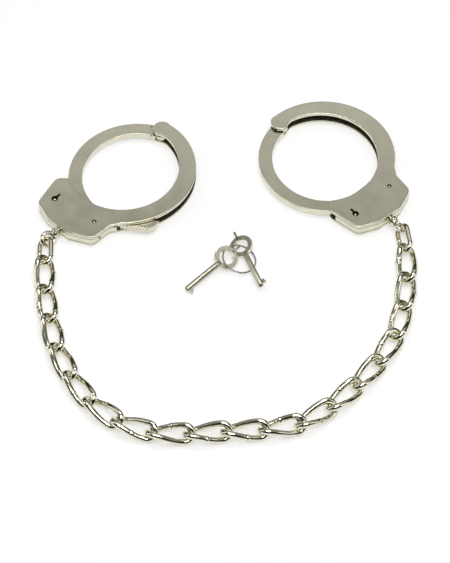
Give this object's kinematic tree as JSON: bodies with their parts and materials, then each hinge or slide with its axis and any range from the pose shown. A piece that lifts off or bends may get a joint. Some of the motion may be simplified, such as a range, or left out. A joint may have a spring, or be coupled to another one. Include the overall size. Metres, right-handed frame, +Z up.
{
  "type": "leg cuffs",
  "caption": "Flat ratchet leg cuffs with swivels, joined by a long chain of twisted links, with loose keys on a split ring.",
  "frame": {"origin": "under the middle of the bounding box, on the surface that the set lies on", "axes": "+Z up from that surface; +Y from the chain's far bight towards the two cuffs; +X from the left cuff to the right one"},
  "size_m": [0.2666, 0.2948, 0.0124],
  "materials": {
    "satin_nickel": "satin nickel plate over steel, lightly brushed",
    "polished_nickel": "polished nickel plate over steel",
    "spring_steel": "bare spring steel"
  },
  "bodies": {
    "link_01": {"link_01": "polished_nickel"},
    "link_02": {"link_02": "polished_nickel"},
    "link_03": {"link_03": "polished_nickel"},
    "link_04": {"link_04": "polished_nickel"},
    "link_05": {"link_05": "polished_nickel"},
    "link_06": {"link_06": "polished_nickel"},
    "link_07": {"link_07": "polished_nickel"},
    "link_08": {"link_08": "polished_nickel"},
    "link_09": {"link_09": "polished_nickel"},
    "link_10": {"link_10": "polished_nickel"},
    "link_11": {"link_11": "polished_nickel"},
    "link_12": {"link_12": "polished_nickel"},
    "link_13": {"link_13": "polished_nickel"},
    "link_14": {"link_14": "polished_nickel"},
    "link_15": {"link_15": "polished_nickel"},
    "link_16": {"link_16": "polished_nickel"},
    "link_17": {"link_17": "polished_nickel"},
    "link_18": {"link_18": "polished_nickel"},
    "link_19": {"link_19": "polished_nickel"},
    "link_20": {"link_20": "polished_nickel"},
    "left_swivel": {"left_swivel": "polished_nickel"},
    "left_case": {"left_bottom_cheek": "satin_nickel", "left_top_cheek": "satin_nickel", "left_case_frame": "satin_nickel", "left_jaw_rivet": "polished_nickel", "left_pawl_pin": "polished_nickel", "left_pawl_spring": "spring_steel", "left_keyhole_post": "polished_nickel", "left_case_rivet_1": "polished_nickel", "left_case_rivet_2": "polished_nickel"},
    "left_jaw": {"left_jaw": "polished_nickel"},
    "left_pawl": {"left_pawl": "polished_nickel"},
    "left_double_lock_pin": {"left_double_lock_pin": "polished_nickel"},
    "right_swivel": {"right_swivel": "polished_nickel"},
    "right_case": {"right_bottom_cheek": "satin_nickel", "right_top_cheek": "satin_nickel", "right_case_frame": "satin_nickel", "right_jaw_rivet": "polished_nickel", "right_pawl_pin": "polished_nickel", "right_pawl_spring": "spring_steel", "right_keyhole_post": "polished_nickel", "right_case_rivet_1": "polished_nickel", "right_case_rivet_2": "polished_nickel"},
    "right_jaw": {"right_jaw": "polished_nickel"},
    "right_pawl": {"right_pawl": "polished_nickel"},
    "right_double_lock_pin": {"right_double_lock_pin": "polished_nickel"},
    "key_ring": {"key_ring": "spring_steel"},
    "key_a": {"key_a": "satin_nickel"},
    "key_b": {"key_b": "satin_nickel"}
  },
  "joints": [
    {"name": "link_10_to_link_09", "type": "hinge", "parent": "link_10", "child": "link_09", "pos_m": [-0.02133, -0.14006, 0.006], "axis": [0.0247, 0.7067, 0.7071], "range_deg": [-15, 45]},
    {"name": "link_09_to_link_08", "type": "hinge", "parent": "link_09", "child": "link_08", "pos_m": [-0.05151, -0.13901, 0.006], "axis": [0.0247, 0.7067, -0.7071], "range_deg": [-45, 25]},
    {"name": "link_08_to_link_07", "type": "hinge", "parent": "link_08", "child": "link_07", "pos_m": [-0.07026, -0.13181, 0.006], "axis": [-0.4545, -0.5417, -0.7071], "range_deg": [-45, 45]},
    {"name": "link_07_to_link_06", "type": "hinge", "parent": "link_07", "child": "link_06", "pos_m": [-0.0934, -0.1124, 0.006], "axis": [-0.4545, -0.5417, 0.7071], "range_deg": [-45, 45]},
    {"name": "link_06_to_link_05", "type": "hinge", "parent": "link_06", "child": "link_05", "pos_m": [-0.10397, -0.09548, 0.006], "axis": [0.646, 0.2876, 0.7071], "range_deg": [-45, 45]},
    {"name": "link_05_to_link_04", "type": "hinge", "parent": "link_05", "child": "link_04", "pos_m": [-0.11625, -0.06789, 0.006], "axis": [0.646, 0.2876, -0.7071], "range_deg": [-45, 45]},
    {"name": "link_04_to_link_03", "type": "hinge", "parent": "link_04", "child": "link_03", "pos_m": [-0.12041, -0.04847, 0.006], "axis": [-0.6984, -0.1106, -0.7071], "range_deg": [-45, 45]},
    {"name": "link_03_to_link_02", "type": "hinge", "parent": "link_03", "child": "link_02", "pos_m": [-0.12513, -0.01865, 0.006], "axis": [-0.6984, -0.1106, 0.7071], "range_deg": [-45, 45]},
    {"name": "link_02_to_link_01", "type": "hinge", "parent": "link_02", "child": "link_01", "pos_m": [-0.12617, 0.00635, 0.006], "axis": [0.7061, 0.037, -0.7071], "range_deg": [-45, 40]},
    {"name": "link_10_to_link_11", "type": "hinge", "parent": "link_10", "child": "link_11", "pos_m": [0.00356, -0.13757, 0.006], "axis": [0.0616, -0.7044, -0.7071], "range_deg": [-15, 45]},
    {"name": "link_11_to_link_12", "type": "hinge", "parent": "link_11", "child": "link_12", "pos_m": [0.02336, -0.13655, 0.006], "axis": [-0.1349, 0.6941, -0.7071], "range_deg": [-15, 45]},
    {"name": "link_12_to_link_13", "type": "hinge", "parent": "link_12", "child": "link_13", "pos_m": [0.05301, -0.13078, 0.006], "axis": [-0.1349, 0.6941, 0.7071], "range_deg": [-45, 15]},
    {"name": "link_13_to_link_14", "type": "hinge", "parent": "link_13", "child": "link_14", "pos_m": [0.06934, -0.11914, 0.006], "axis": [0.5, -0.5, 0.7071], "range_deg": [-45, 45]},
    {"name": "link_14_to_link_15", "type": "hinge", "parent": "link_14", "child": "link_15", "pos_m": [0.0907, -0.09778, 0.006], "axis": [0.5, -0.5, -0.7071], "range_deg": [-45, 45]},
    {"name": "link_15_to_link_16", "type": "hinge", "parent": "link_15", "child": "link_16", "pos_m": [0.10299, -0.0822, 0.006], "axis": [-0.6184, 0.3428, -0.7071], "range_deg": [-45, 45]},
    {"name": "link_16_to_link_17", "type": "hinge", "parent": "link_16", "child": "link_17", "pos_m": [0.11763, -0.05578, 0.006], "axis": [-0.6184, 0.3428, 0.7071], "range_deg": [-45, 45]},
    {"name": "link_17_to_link_18", "type": "hinge", "parent": "link_17", "child": "link_18", "pos_m": [0.1221, -0.03638, 0.006], "axis": [0.7018, -0.0862, 0.7071], "range_deg": [-45, 45]},
    {"name": "link_18_to_link_19", "type": "hinge", "parent": "link_18", "child": "link_19", "pos_m": [0.12578, -0.00641, 0.006], "axis": [0.7018, -0.0862, -0.7071], "range_deg": [-45, 45]},
    {"name": "link_19_to_link_20", "type": "hinge", "parent": "link_19", "child": "link_20", "pos_m": [0.12546, 0.01861, 0.006], "axis": [-0.7071, 0, 0.7071], "range_deg": [-45, 45]},
    {"name": "left_eye", "type": "hinge", "parent": "link_01", "child": "left_swivel", "pos_m": [-0.12621, 0.01918, 0.00366], "axis": [0.7686, -0.125, -0.6274], "range_deg": [-20, 30]},
    {"name": "left_swivel_turn", "type": "hinge", "parent": "left_swivel", "child": "left_case", "pos_m": [-0.11723, 0.03175, 0.005], "axis": [-0.6534, -0.757, 0], "continuous": true},
    {"name": "left_jaw_hinge", "type": "hinge", "parent": "left_case", "child": "left_jaw", "pos_m": [-0.04643, 0.12085, 0.005], "axis": [0, 0, 1], "range_deg": [-90, 4.5]},
    {"name": "left_pawl_hinge", "type": "hinge", "parent": "left_case", "child": "left_pawl", "pos_m": [-0.09253, 0.03585, 0.005], "axis": [0, 0, 1], "range_deg": [-9, 0]},
    {"name": "left_double_lock", "type": "slide", "parent": "left_case", "child": "left_double_lock_pin", "axis": [-0.7071, 0.7071, 0], "range_m": [0, 0.002]},
    {"name": "right_eye", "type": "hinge", "parent": "link_20", "child": "right_swivel", "pos_m": [0.12384, 0.03157, 0.00653], "axis": [0.8055, 0.0601, -0.5895], "range_deg": [-30, 30]},
    {"name": "right_swivel_turn", "type": "hinge", "parent": "right_swivel", "child": "right_case", "pos_m": [0.11527, 0.04426, 0.005], "axis": [0.6481, -0.7615, 0], "continuous": true},
    {"name": "right_jaw_hinge", "type": "hinge", "parent": "right_case", "child": "right_jaw", "pos_m": [0.03805, 0.12786, 0.005], "axis": [0, 0, 1], "range_deg": [-90, 16.5]},
    {"name": "right_pawl_hinge", "type": "hinge", "parent": "right_case", "child": "right_pawl", "pos_m": [0.11499, 0.0693, 0.005], "axis": [0, 0, 1], "range_deg": [-9, 0]},
    {"name": "right_double_lock", "type": "slide", "parent": "right_case", "child": "right_double_lock_pin", "axis": [-0.807, -0.5906, 0], "range_m": [0, 0.002]},
    {"name": "keys_lift", "type": "slide", "parent": "link_10", "child": "key_ring", "axis": [0, 0, 1], "range_m": [0, 0.08]},
    {"name": "key_a_round_ring", "type": "hinge", "parent": "key_ring", "child": "key_a", "pos_m": [0.00907, 0.00849, 0.00352], "axis": [0.2385, 0, 0.9711], "range_deg": [0, 40]},
    {"name": "key_b_round_ring", "type": "hinge", "parent": "key_ring", "child": "key_b", "pos_m": [0.00907, 0.00849, 0.00352], "axis": [0.2385, 0, 0.9711], "range_deg": [-40, 0]}
  ]
}
